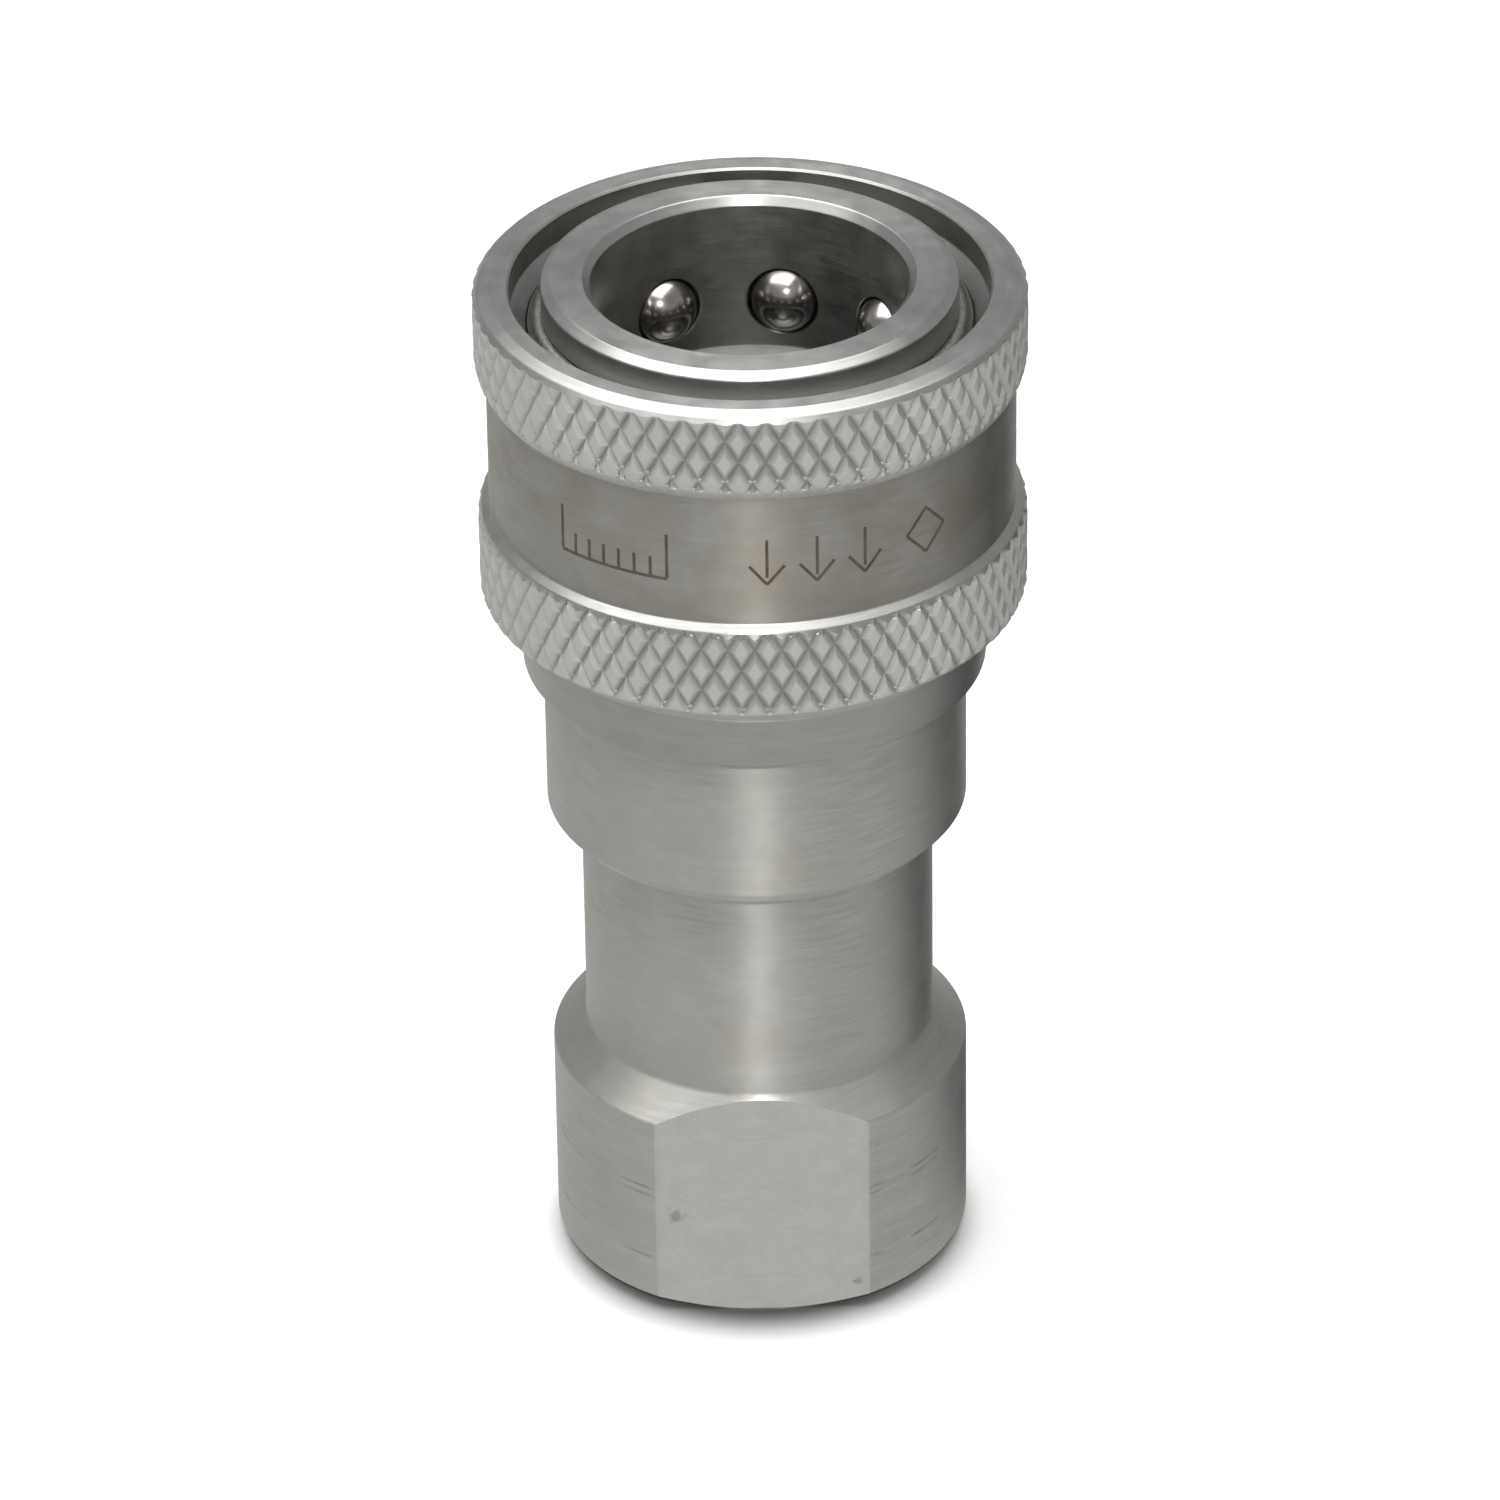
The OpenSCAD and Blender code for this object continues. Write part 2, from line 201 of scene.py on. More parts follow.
class Finish:
    """A material whose patterns read Object coordinates, in millimetres."""

    def __init__(self, name, colour, roughness, metallic=1.0, **sockets):
        self.material = bpy.data.materials.new(name)
        self.material.use_nodes = True
        self.tree = self.material.node_tree
        self.shader = self.tree.nodes["Principled BSDF"]
        self.shader.inputs["Metallic"].default_value = metallic
        self.shader.inputs["Roughness"].default_value = roughness
        self.shader.inputs["Base Color"].default_value = (*colour, 1.0)
        for key, value in sockets.items():
            self.shader.inputs[key.replace("_", " ")].default_value = value
        place = self.node("ShaderNodeTexCoord").outputs["Object"]
        self.place = self.vector("SCALE", place, scale=1 / MM)
        flat = self.vector("MULTIPLY", self.place, (1.0, 1.0, 0.0))
        self.radius = self.vector("LENGTH", flat)
        self.height = self.split(self.place, 2)
        self.bump = None

    def node(self, kind, **settings):
        """A new node of that kind with its settings."""
        made = self.tree.nodes.new(kind)
        for key, value in settings.items():
            setattr(made, key, value)
        return made

    def link(self, out, into):
        self.tree.links.new(out, into)

    def feed(self, socket, value):
        """Puts a value into a socket: a link from another node, or a constant."""
        if isinstance(value, bpy.types.NodeSocket):
            self.link(value, socket)
        else:
            socket.default_value = value

    def vector(self, operation, a, b=None, scale=None):
        """The result of an operation on one or two vectors."""
        made = self.node("ShaderNodeVectorMath", operation=operation)
        self.feed(made.inputs[0], a)
        if b is not None:
            self.feed(made.inputs[1], b)
        if scale is not None:
            made.inputs["Scale"].default_value = scale
        return made.outputs["Value" if operation in ("LENGTH", "DOT_PRODUCT") else "Vector"]

    def sum(self, operation, a, b, clamp=False):
        """The result of an operation on two numbers, held to 0 to 1 if clamp is set."""
        made = self.node("ShaderNodeMath", operation=operation, use_clamp=clamp)
        self.feed(made.inputs[0], a)
        self.feed(made.inputs[1], b)
        return made.outputs[0]

    def split(self, vector, index):
        """One part of a vector: 0 is x, 1 is y, 2 is z."""
        made = self.node("ShaderNodeSeparateXYZ")
        self.link(vector, made.inputs[0])
        return made.outputs[index]

    def gather(self, x, y, z):
        """A vector made of three numbers."""
        made = self.node("ShaderNodeCombineXYZ")
        for socket, value in zip(made.inputs, (x, y, z)):
            self.feed(socket, value)
        return made.outputs[0]

    def noise(self, vector, scale, detail=2.0, rough=0.5):
        """Smooth noise from 0 to 1, with about scale waves in a millimetre."""
        made = self.node("ShaderNodeTexNoise")
        self.link(vector, made.inputs["Vector"])
        made.inputs["Scale"].default_value = scale
        made.inputs["Detail"].default_value = detail
        made.inputs["Roughness"].default_value = rough
        return made.outputs["Fac"]

    def range(self, value, low, high, to_low, to_high, kind="LINEAR"):
        """The value carried from low..high to to_low..to_high, and held at both ends."""
        made = self.node("ShaderNodeMapRange", interpolation_type=kind)
        self.feed(made.inputs["Value"], value)
        limits = (low, high, to_low, to_high)
        for key, x in zip(("From Min", "From Max", "To Min", "To Max"), limits):
            made.inputs[key].default_value = x
        return made.outputs[0]

    def mix(self, share, a, b):
        """A colour between a, at share 0, and b, at share 1."""
        made = self.node("ShaderNodeMix", data_type="RGBA")
        self.feed(made.inputs["Factor"], share)
        colours = [s for s in made.inputs if s.type == "RGBA"]
        self.feed(colours[0], a if isinstance(a, bpy.types.NodeSocket) else (*a, 1.0))
        self.feed(colours[1], b if isinstance(b, bpy.types.NodeSocket) else (*b, 1.0))
        return [s for s in made.outputs if s.type == "RGBA"][0]

    def raise_by(self, height, microns):
        """Adds a bump of that height where the value goes from 0 to 1."""
        made = self.node("ShaderNodeBump")
        made.inputs["Strength"].default_value = 1.0
        made.inputs["Distance"].default_value = microns * 1e-6
        self.link(height, made.inputs["Height"])
        if self.bump:
            self.link(self.bump, made.inputs["Normal"])
        self.bump = made.outputs[0]
        self.link(self.bump, self.shader.inputs["Normal"])

    def turning_tangent(self):
        """The direction of the cut: across the radius and level, turned into the world."""
        x, y = self.split(self.place, 0), self.split(self.place, 1)
        level = self.gather(self.sum("MULTIPLY", y, -1.0), x, 0.0)
        turned = self.node("ShaderNodeVectorTransform", vector_type="VECTOR")
        turned.convert_from, turned.convert_to = "OBJECT", "WORLD"
        self.link(self.vector("NORMALIZE", level), turned.inputs[0])
        self.link(turned.outputs[0], self.shader.inputs["Tangent"])

    def along_cut(self, slow=0.05):
        """A place that changes fast across the turning marks and slowly along them."""
        return self.gather(
            self.sum("ADD", self.radius, self.sum("MULTIPLY", self.split(self.place, 0), slow)),
            self.height,
            self.sum("MULTIPLY", self.split(self.place, 1), slow),
        )


def shade(colour, share):
    """A colour made lighter or darker by a factor."""
    return tuple(min(1.0, c * share) for c in colour)


def turned_steel(name, colour, roughness, marks=1.0, anisotropy=0.9, tint=None, share=0.55,
                 scores=(), smudges=()):
    """Stainless steel off a lathe: fine level marks, coarser bands, faint stains, soft mottling.

    tint is the colour of a stain and share its strength. scores are heights of darker scored
    lines, and smudges are places of small dark marks.
    """
    f = Finish(name, colour, roughness, Anisotropic=anisotropy, Anisotropic_Rotation=0.25)
    f.turning_tangent()
    cut = f.along_cut()
    fine = f.noise(cut, 9.0, detail=3.0, rough=0.7)
    bands = f.noise(f.along_cut(0.02), 1.6, detail=2.0)
    mottle = f.noise(f.place, 0.7, detail=4.0, rough=0.6)
    specks = f.noise(f.place, 9.0, detail=2.0)
    tone = f.mix(f.range(mottle, 0.3, 0.7, 0.0, 1.0), shade(colour, 0.93), shade(colour, 1.06))
    tone = f.mix(f.range(fine, 0.30, 0.72, 0.0, 0.34), tone, shade(colour, 0.80))
    tone = f.mix(f.range(bands, 0.55, 0.75, 0.0, 0.22), tone, shade(colour, 1.18))
    tone = f.mix(f.range(specks, 0.72, 0.84, 0.0, 0.25), tone, shade(colour, 0.66))
    if tint:
        cloud = f.noise(f.place, 0.28, detail=3.0)
        tone = f.mix(f.range(cloud, 0.42, 0.66, 0.0, share), tone, tint)
    level = f.gather(f.split(f.place, 0), f.split(f.place, 1), 0.0)
    patch = f.range(f.noise(level, 0.22), 0.5, 0.62, 0.0, 0.85)
    for height in scores:
        off = f.sum("ABSOLUTE", f.sum("SUBTRACT", f.height, height), 0.0)
        line = f.sum("MULTIPLY", f.range(off, 0.02, 0.11, 1.0, 0.0), patch)
        tone = f.mix(line, tone, shade(colour, 0.30))
    for middle in smudges:
        off = f.vector("LENGTH", f.vector("SUBTRACT", f.place, middle))
        off = f.sum("ADD", off, f.range(f.noise(f.place, 2.5), 0.3, 0.7, -0.25, 0.25))
        tone = f.mix(f.range(off, 0.08, 0.34, 0.5, 0.0), tone, shade(colour, 0.35))
    f.link(tone, f.shader.inputs["Base Color"])
    rough = f.sum("ADD", f.range(fine, 0.3, 0.7, -0.05, 0.06), f.range(mottle, 0.3, 0.7, -0.04, 0.05))
    f.link(f.sum("ADD", rough, roughness, clamp=True), f.shader.inputs["Roughness"])
    f.raise_by(fine, 2.2 * marks)
    f.raise_by(f.noise(f.along_cut(0.01), 3.2, detail=1.0), 2.5 * marks)
    return f.material


def knurled_steel(name, colour, roughness):
    """Pressed knurl: paler and duller than a turned face, with painted shade darkening its valleys and
    its crests a little lighter.
    """
    f = Finish(name, colour, roughness)
    knurl_valley_shade = f.range(f.radius, GRIP_R - 0.30, GRIP_R, 0.0, 1.0)
    grain = f.noise(f.place, 14.0, detail=3.0, rough=0.7)
    mottle = f.noise(f.place, 0.9, detail=3.0)
    # Painted shade: the tone darkens from the crests down into the valleys.
    tone = f.mix(knurl_valley_shade, shade(colour, 0.78), shade(colour, 1.05))
    tone = f.mix(f.range(grain, 0.35, 0.75, 0.0, 0.35), tone, shade(colour, 0.74))
    tone = f.mix(f.range(mottle, 0.35, 0.7, 0.0, 0.35), tone, shade(colour, 1.12))
    f.link(tone, f.shader.inputs["Base Color"])
    f.link(
        f.sum("ADD", f.range(grain, 0.3, 0.7, -0.05, 0.08), roughness),
        f.shader.inputs["Roughness"],
    )
    f.raise_by(grain, 5.0)
    f.raise_by(f.noise(f.place, 4.0, detail=2.0), 8.0)
    return f.material


def polished_steel(name, colour, roughness):
    """Ground and polished bearing steel with a few hair scratches and a worn cloud."""
    f = Finish(name, colour, roughness)
    cloud = f.noise(f.place, 2.2, detail=3.0)
    hair = f.noise(f.gather(f.split(f.place, 0), f.sum("MULTIPLY", f.height, 9.0), 0.0), 3.0, 2.0)
    tone = f.mix(f.range(cloud, 0.35, 0.7, 0.0, 1.0), shade(colour, 0.9), shade(colour, 1.04))
    f.link(tone, f.shader.inputs["Base Color"])
    f.link(
        f.sum("ADD", f.range(cloud, 0.3, 0.7, -0.03, 0.06), roughness),
        f.shader.inputs["Roughness"],
    )
    f.raise_by(hair, 0.5)
    return f.material


def drawn_wire(name, colour, roughness):
    """Drawn spring wire: dull, with a fine uneven grain in tone, roughness and height."""
    f = Finish(name, colour, roughness)
    grain = f.noise(f.place, 7.0, detail=4.0, rough=0.65)
    tone = f.mix(f.range(grain, 0.35, 0.7, 0.0, 1.0), shade(colour, 0.7), shade(colour, 1.15))
    f.link(tone, f.shader.inputs["Base Color"])
    f.link(
        f.sum("ADD", f.range(grain, 0.3, 0.7, -0.06, 0.1), roughness),
        f.shader.inputs["Roughness"],
    )
    f.raise_by(grain, 2.0)
    return f.material


def moulded(name, colour, roughness, pits=3.0, spread=0.25):
    """Moulded rubber or plastic: a soft mottled tone and fine pits."""
    f = Finish(name, colour, roughness, metallic=0.0)
    cloud = f.noise(f.place, 1.3, detail=3.0)
    pit = f.noise(f.place, 11.0, detail=2.0)
    tone = f.mix(
        f.range(cloud, 0.3, 0.7, 0.0, 1.0), shade(colour, 1 - spread), shade(colour, 1 + spread)
    )
    f.link(tone, f.shader.inputs["Base Color"])
    f.link(
        f.sum("ADD", f.range(pit, 0.3, 0.7, -0.06, 0.08), roughness), f.shader.inputs["Roughness"]
    )
    f.raise_by(pit, pits)
    return f.material


STEEL = (0.47, 0.472, 0.452)
STAIN = (0.40, 0.35, 0.26)
BODY_STEEL = turned_steel("body_steel", STEEL, 0.44, tint=STAIN, share=0.22, scores=(2.95, 6.5, 6.9))
FLAT_STEEL = turned_steel("flat_steel", shade(STEEL, 1.04), 0.48, marks=0.7, anisotropy=0.5,
                          smudges=((-4.1, -8.5, 5.4), (4.5, -8.5, 1.4)))
# Painted shade: steel darkened to 0.7 for the bore, port, passages, the sleeve's inside and the nose's
# wall under the sleeve; its coarser turning marks are real.
SHADED_INNER_STEEL = turned_steel("inner_steel_painted_shade", shade(STEEL, 0.70), 0.36, marks=2.0, anisotropy=0.5)
SLEEVE_STEEL = turned_steel("sleeve_steel", STEEL, 0.44)
BAND_STEEL = turned_steel("band_steel", (0.355, 0.347, 0.322), 0.42, tint=(0.27, 0.235, 0.19))
RIM_STEEL = turned_steel("rim_steel", shade(STEEL, 0.87), 0.35, marks=0.6, anisotropy=0.5)
KNURL_STEEL = knurled_steel("knurl_steel", shade(STEEL, 1.14), 0.50)
BALL_STEEL = polished_steel("ball_steel", (0.38, 0.36, 0.35), 0.19)
WIRE_STEEL = drawn_wire("snap_wire_steel", (0.34, 0.335, 0.31), 0.34)
SPRING_STEEL = drawn_wire("spring_wire_steel", (0.34, 0.34, 0.34), 0.34)
VALVE_STEEL = turned_steel("valve_steel", shade(STEEL, 0.9), 0.32, marks=0.8)
VALVE_BRASS = turned_steel("valve_brass", (0.52, 0.38, 0.17), 0.33, marks=0.8)
SEAL_RUBBER = moulded("seal_rubber", (0.018, 0.018, 0.019), 0.52)
BACKUP_PLASTIC = moulded("backup_plastic", (0.70, 0.69, 0.64), 0.46, pits=2.0, spread=0.06)
ETCH = moulded("etched_mark", (0.060, 0.042, 0.026), 0.62, pits=2.0, spread=0.3)


# ---------------------------------------------------------------- putting a piece in place

def piece(name, shape, finish, body, nodes, pick=None, sharp=32.0):
    """One closed mesh from (points in mm, faces): doubles merged, normals outwards, crisp edges.

    finish is one material, or several with pick, a function of the faces' middles in mm that
    returns each face's index into them.
    """
    points, faces = shape
    faces = faces if isinstance(faces, list) else [faces]
    mesh = bpy.data.meshes.new(name)
    mesh.from_pydata((points * MM).tolist(), [], [f for part in faces for f in part.tolist()])
    work = bmesh.new()
    work.from_mesh(mesh)
    bmesh.ops.remove_doubles(work, verts=work.verts, dist=2e-7)
    bmesh.ops.dissolve_degenerate(work, edges=work.edges, dist=1e-7)
    bmesh.ops.recalc_face_normals(work, faces=work.faces)
    work.to_mesh(mesh)
    work.free()
    mesh.shade_smooth()
    mesh.set_sharp_from_angle(angle=math.radians(sharp))
    materials = finish if isinstance(finish, (list, tuple)) else [finish]
    for material in materials:
        mesh.materials.append(material)
    if pick:
        middle = np.zeros(len(mesh.polygons) * 3, np.float32)
        normal = np.zeros(len(mesh.polygons) * 3, np.float32)
        mesh.polygons.foreach_get("center", middle)
        mesh.polygons.foreach_get("normal", normal)
        index = pick(middle.reshape(-1, 3) / MM, normal.reshape(-1, 3))
        mesh.polygons.foreach_set("material_index", index.astype(np.int32))
    made = placed(name, mesh)
    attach(made, body)
    if nodes:
        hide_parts(*nodes)
    return made


# ---------------------------------------------------------------- threaded end and neck

ROUND_COLS, FLAT_COLS = 28, 12


def quarter_angles(limit):
    """Angles of one full turn whose columns meet the flats' edges.

    limit holds, for each row, the angle from +X at which the round bar meets the flat. The first
    columns share the arc up to it and the rest share the flat, and each quarter mirrors the last.
    """
    share = np.linspace(0, 1, ROUND_COLS + 1)
    rest = np.linspace(0, 1, FLAT_COLS + 1)[1:]
    limit = np.atleast_1d(limit)[:, None]
    first = np.concatenate([limit * share, limit + (np.pi / 2 - limit) * rest], 1)
    second = np.pi - first[:, ::-1][:, 1:]
    half = np.concatenate([first, second], 1)[:, :-1]
    return np.concatenate([half, half + np.pi], 1)


def flatted(line):
    """Rows of the outer profile cut by the two flats.

    Each point's radius is the smaller of the round profile and of the flat's distance divided by
    the sine of the angle.
    """
    radius, height = line[:, :1], line[:, 1:]
    limit = np.arcsin(np.minimum(1.0, FLAT_Y / line[:, 0]))
    angle = quarter_angles(limit)
    flat = FLAT_Y / np.maximum(np.abs(np.sin(angle)), 1e-6)
    return swept(np.minimum(radius, flat), height, angle)


def dense(line, step):
    """The profile with rows added where the flats cut it at even steps across their width."""
    made = [line[:1]]
    across = np.sqrt(np.maximum(line[:, 0] ** 2 - FLAT_Y**2, 0.0))
    for k, (a, b) in enumerate(zip(line[:-1], line[1:])):
        width, tall = abs(across[k + 1] - across[k]), abs(b[1] - a[1])
        count = max(1, math.ceil(max(width / step, tall / 2.5)))
        share = np.linspace(0, 1, count + 1)[1:, None]
        if abs(b[0] - a[0]) > 1e-6:
            side = across[k] + (across[k + 1] - across[k]) * share
            share = (np.sqrt(side**2 + FLAT_Y**2) - a[0]) / (b[0] - a[0])
        made.append(a + (b - a) * share)
    return np.concatenate(made)


PITCH = 25.4 / 18
THREAD_R, THREAD_TAPER, THREAD_DEPTH = 5.86, 1 / 32, 0.80


def pipe_thread(height, angle):
    """Radius of the tapered female thread.

    It is the tapering minor radius plus the thread's depth times a flat-topped triangle wave of
    (height / pitch - angle / one turn). The depth fades to nothing at the inner end, and a 45
    degree chamfer opens the port at the foot.
    """
    minor = THREAD_R - height * THREAD_TAPER
    phase = (height / PITCH - angle / (2 * np.pi)) % 1.0
    wave = np.clip(np.abs(phase - 0.5) * 2 * 1.25 - 0.125, 0, 1)
    fade = np.clip((Z_NECK - 0.9 - height) / 1.6, 0, 1)
    cut = minor + THREAD_DEPTH * wave * fade
    return np.maximum(cut, PORT_R + 1.3 - height)


def make_rear_body():
    """Threaded port, foot, bar with its flats, cone, neck, spigot and passage in one closed skin.

    The step between port and passage is a ring of its own rows.
    """
    side = outline([
        (FOOT_R, 0.0), (COLLAR_R, 0.78, 0.15), (COLLAR_R, Z_NECK - 1.5, 0.25),
        (NECK_R, Z_NECK, 0.30), (NECK_R, Z_JOINT),
    ])
    low = side[side[:, 0] > FLAT_Y + 1e-6]
    high = side[side[:, 0] <= FLAT_Y + 1e-6]
    share = (low[-1, 0] - FLAT_Y) / (low[-1, 0] - high[0, 0])
    apex = low[-1] + (high[0] - low[-1]) * share
    apex[0] = FLAT_Y
    outer = flatted(dense(np.concatenate([low, [apex]]), 0.35))
    plain = quarter_angles(np.pi / 2)
    top = outline([
        tuple(high[0]), *[tuple(p) for p in high[1:-1]], (NECK_R, Z_JOINT, 0.05),
        (SPIGOT_R, Z_JOINT, 0), (SPIGOT_R, Z_JOINT + 2.8, 0.05),
        (SEAL_BED_R, Z_JOINT + 2.8, 0.08), (SEAL_BED_R, Z_JOINT + 4.4, 0.08),
        (SPIGOT_R, Z_JOINT + 4.4, 0.05), (SPIGOT_R, Z_SPIGOT - 0.3, 0.05),
        (SPIGOT_R - 0.3, Z_SPIGOT, 0.05), (PASSAGE_R, Z_SPIGOT, 0.08),
        (PASSAGE_R, Z_JOINT + 1.0, 0.1), (THROAT_PASSAGE_R, Z_JOINT + 1.0, 0.1),
        (THROAT_PASSAGE_R, PORT_DEPTH),
    ])
    upper = swept(top[:, :1], top[:, 1:], plain)
    foot_angle = quarter_angles(np.arcsin(FLAT_Y / FOOT_R))
    rows = np.concatenate([np.linspace(0, PORT_DEPTH - 0.02, 118), [PORT_DEPTH]])[:, None]
    port = swept(pipe_thread(rows, foot_angle), rows, foot_angle)
    cols = plain.shape[1]
    grid = np.concatenate([port[::-1], outer, upper])
    points = np.concatenate([grid, upper[-1:], port[-1:]])
    body = cells(len(grid), cols)
    step = cells(2, cols, first=len(grid) * cols)
    return points.reshape(-1, 3), [body, step]


def rear_finish(middle, normal):
    """0 on turned faces, 1 on the two wrench flats, 2 in the port and the passages, where the steel is
    darkened as painted shade.
    """
    radius = np.hypot(middle[:, 0], middle[:, 1])
    flat = (np.abs(np.abs(normal[:, 1]) - 1) < 1e-3) & (middle[:, 2] < Z_NECK) & (radius > 8)
    return np.where(flat, 1, np.where(radius < 6.95, 2, 0))


piece("rear_body_shell", make_rear_body(), [BODY_STEEL, FLAT_STEEL, SHADED_INNER_STEEL], "socket",
      ["rear_body"], rear_finish)


# ---------------------------------------------------------------- socket body

SECTOR_COLS, SIDE_ROWS = 24, 12
BAND_HALF = 2.12
BODY_ANGLES = around(BALLS * SECTOR_COLS, BALL_TURN - BALL_STEP / 2)


def sector_edge():
    """The border of one ball's sector, as (turn from its middle, height from the ball plane)."""
    half = math.radians(BALL_STEP / 2)
    across = np.linspace(-half, half, SECTOR_COLS + 1)
    up = np.linspace(-BAND_HALF, BAND_HALF, SIDE_ROWS + 1)
    low = np.stack([across[:-1], np.full(SECTOR_COLS, -BAND_HALF)], -1)
    right = np.stack([np.full(SIDE_ROWS, half), up[:-1]], -1)
    high = np.stack([across[:0:-1], np.full(SECTOR_COLS, BAND_HALF)], -1)
    left = np.stack([np.full(SIDE_ROWS, -half), up[:0:-1]], -1)
    return np.concatenate([low, right, high, left])


def ball_hole(turn):
    """Outer wall, stepped hole and inner wall of one ball's sector, turned to its place.

    On a wall of radius R the hole's rim is at turn arcsin(h cos t / R) and height h sin t, and
    points between it and the sector's border are their straight mean in turn and height.
    """
    border = sector_edge()
    t = np.arctan2(border[:, 1] / BAND_HALF, border[:, 0] / math.radians(BALL_STEP / 2))
    share = np.array([0.0, 0.06, 0.3, 0.6, 1.0])[:, None, None]

    def wall(radius, hole):
        rim = np.stack([np.arcsin(hole * np.cos(t) / radius), hole * np.sin(t)], -1)
        at = rim * (1 - share) + border * share
        return swept(radius, Z_BALL + at[..., 1], turn + at[..., 0])

    def rung(hole, out):
        side, up = hole * np.cos(t), hole * np.sin(t)
        flat = swept(np.hypot(out, side), Z_BALL + up, turn + np.arctan2(side, out))
        return flat[None]

    outer = wall(NOSE_R, HOLE_R + 0.06)[::-1]
    inner = wall(BORE_R, THROAT_R + 0.05)
    side_o = (HOLE_R + 0.06) * np.cos(t)
    side_i = (THROAT_R + 0.05) * np.cos(t)
    reach_o = np.sqrt(NOSE_R**2 - side_o**2)
    reach_i = np.sqrt(BORE_R**2 - side_i**2)
    grid = np.concatenate([
        outer, rung(HOLE_R, reach_o - 0.08), rung(HOLE_R, THROAT_U + 0.02 + 0 * t),
        rung(HOLE_R - 0.02, THROAT_U + 0 * t), rung(THROAT_R, THROAT_U + 0 * t),
        rung(THROAT_R, np.minimum(reach_i + 0.05, THROAT_U - 0.01)), inner,
    ])
    return grid.reshape(-1, 3), cells(len(grid), len(t))


def make_socket_body():
    """Turned outline in two open strips, joined by the eight sectors that hold the balls."""
    low, high = Z_BALL - BAND_HALF, Z_BALL + BAND_HALF
    below = lathe([
        (NOSE_R, low), (NOSE_R, Z_LAND + 0.30, 0.05), (RELIEF_R, Z_LAND, 0.05),
        (RELIEF_R, Z_SPRING, 0.10), (10.30, Z_SPRING, 0.06), (10.30, Z_TAIL + 0.10, 0.06),
        (COLLAR_R, Z_TAIL + 0.10, 0.06), (COLLAR_R, Z_JOINT + 0.70, 0.16),
        (COLLAR_R - 0.64, Z_JOINT, 0.10), (JOINT_R, Z_JOINT, 0.08), (JOINT_R, Z_STOP, 0.06),
        (VALVE_R, Z_STOP, 0.06), (VALVE_R, Z_POCKET, 0.10), (SEAT_R, Z_FLANGE0, 0.06),
        (SEAT_R, Z_FLANGE1, 0.10), (BORE_R, Z_FLANGE1, 0.15), (BORE_R, Z_GROOVE0, 0.06),
        (GROOVE_R, Z_GROOVE0, 0.12), (GROOVE_R, Z_GROOVE1, 0.12), (BORE_R, Z_GROOVE1, 0.06),
        (BORE_R, low),
    ], BODY_ANGLES, closed=False)
    above = lathe([
        (BORE_R, high), (BORE_R, Z_MOUTH, 9.0), (MOUTH_R, Z_FACE - 0.40, 0.10),
        (MOUTH_R + 0.35, Z_FACE, 0.12),
        (NOSE_R - 0.45, Z_FACE, 0.12), (NOSE_R, Z_FACE - 0.30, 0.12),
        (NOSE_R, Z_SNAP + SNAP_R + 0.02, 0.05), (SNAP_BED, Z_SNAP + SNAP_R + 0.02, 0.08),
        (SNAP_BED, Z_SNAP - SNAP_R - 0.02, 0.08), (NOSE_R, Z_SNAP - SNAP_R - 0.02, 0.05),
        (NOSE_R, high),
    ], BODY_ANGLES, closed=False)
    turns = np.radians(BALL_TURN + BALL_STEP * np.arange(BALLS))
    return joined(below, above, *[ball_hole(a) for a in turns])


def socket_finish(middle, normal):
    """0 on turned outer faces, 1 in the bore and on the nose's wall, where the steel is darkened as
    painted shade, 2 on the nose's face.
    """
    radius = np.hypot(middle[:, 0], middle[:, 1])
    inside = (radius < MOUTH_R + 0.02) | ((radius < GROOVE_R + 0.02) & (middle[:, 2] < 50))
    inside &= middle[:, 2] < Z_FACE - 0.42
    inside |= (middle[:, 2] > Z_LAND + 0.3) & (middle[:, 2] < Z_FACE - 0.42)
    face = middle[:, 2] > Z_FACE - 0.42
    return np.where(face, 2, np.where(inside, 1, 0))


piece("socket_body_shell", make_socket_body(), [BODY_STEEL, SHADED_INNER_STEEL, RIM_STEEL], "socket",
      ["socket_body"], socket_finish)


# ---------------------------------------------------------------- locking sleeve

KNURL_AROUND, KNURL_STEPS = 64, 8
KNURL_TALL = 2 * math.pi * GRIP_R / KNURL_AROUND / math.tan(math.radians(30))
KNURL_DEPTH, FINE_ROW = 0.25, 0.12
KNURL_RISE = np.array([0.0, 0.55, 0.93, 1.0, 1.0])
SLEEVE_COLS = KNURL_AROUND * KNURL_STEPS
UPPER_BAND, LOWER_BAND = (46.78, 51.02), (35.60, 40.16)
KNURL_FADE = ([39.80, 40.12, 46.70, 46.80, 50.62, 51.00], [1.0, 0.0, 0.0, 1.0, 1.0, 0.0])
SHOULDER, PLAIN_BAND = (39.7, 40.3), (40.1, 46.73)


def to_nearest(value):
    """Distance from a whole number."""
    return np.abs(value - np.round(value))


def knurl_radius(height, angle):
    """Radius of the 30 degree diamond knurl.

    Two families of valleys lie where (turn / pitch + height / period) and (turn / pitch -
    height / period) are whole. The rise is read from the distance to the nearer valley. The
    depth follows KNURL_FADE, which takes it to nothing at the top of each band and between them.
    """
    turn = angle * KNURL_AROUND / (2 * np.pi)
    near = np.minimum(to_nearest(turn + height / KNURL_TALL), to_nearest(turn - height / KNURL_TALL))
    rise = 1 - np.interp(near * KNURL_STEPS, np.arange(5), KNURL_RISE)
    return GRIP_R - KNURL_DEPTH * rise * np.interp(height, *KNURL_FADE)


